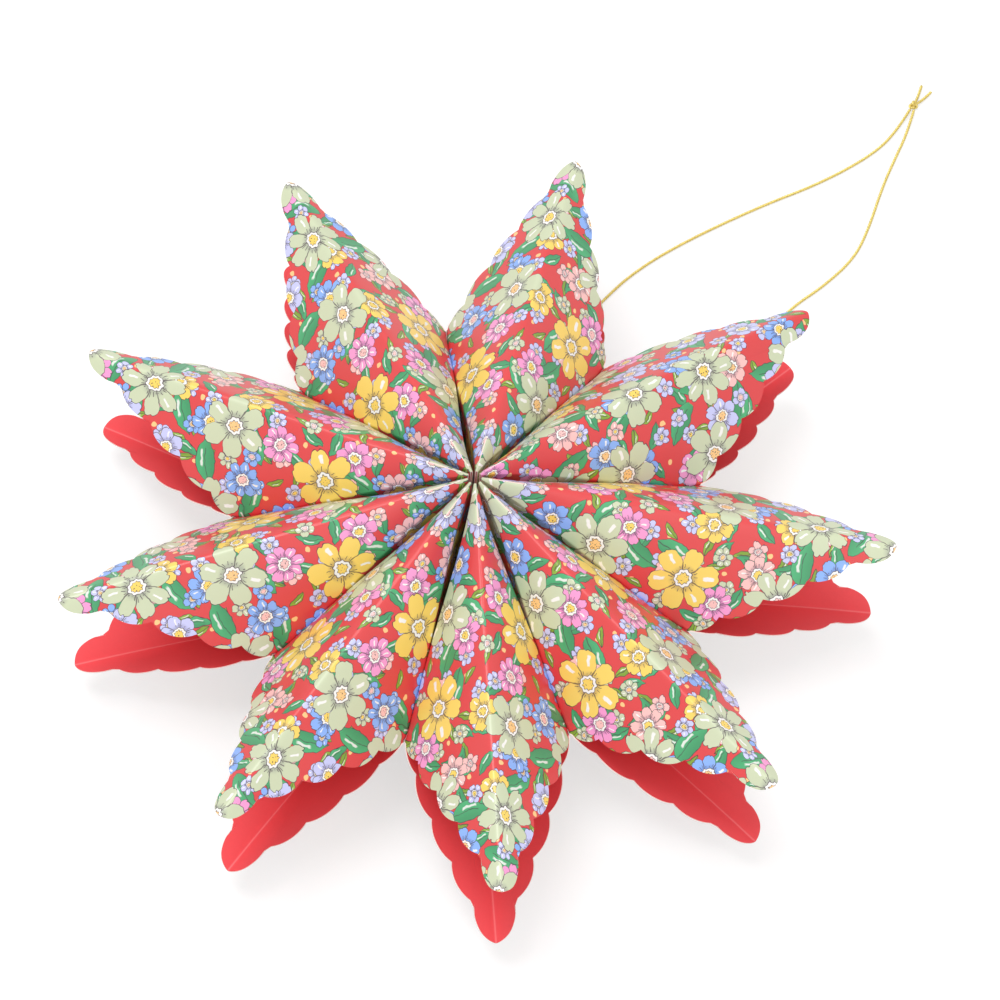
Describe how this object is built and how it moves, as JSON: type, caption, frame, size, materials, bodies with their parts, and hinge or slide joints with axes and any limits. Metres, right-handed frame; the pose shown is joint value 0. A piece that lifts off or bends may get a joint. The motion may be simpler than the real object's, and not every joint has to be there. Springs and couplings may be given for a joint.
{
  "type": "folded paper star",
  "caption": "Wall star of folded paper tubes, each with a scalloped, pointed open mouth, glued side by side round an axis, with a knotted hanging cord through one valley.",
  "frame": {"origin": "the star's centre, on its axis and half way between its front and its back", "axes": "+Z along the star's axis towards the front face, +X to the picture's right, +Y to its top"},
  "size_m": [0.3193, 0.3607, 0.0838],
  "materials": {
    "printed_paper": "semi-gloss printed outside, plain red matte inside, white cut edges",
    "gold_cord": "twisted metallic thread"
  },
  "bodies": {
    "root": {"star_point_1": "printed_paper", "star_point_2": "printed_paper", "star_point_3": "printed_paper", "star_point_4": "printed_paper", "star_point_5": "printed_paper", "star_point_6": "printed_paper", "star_point_7": "printed_paper", "star_point_8": "printed_paper", "star_point_9": "printed_paper", "hanging_cord": "gold_cord", "cord_knot": "gold_cord"}
  },
  "joints": []
}
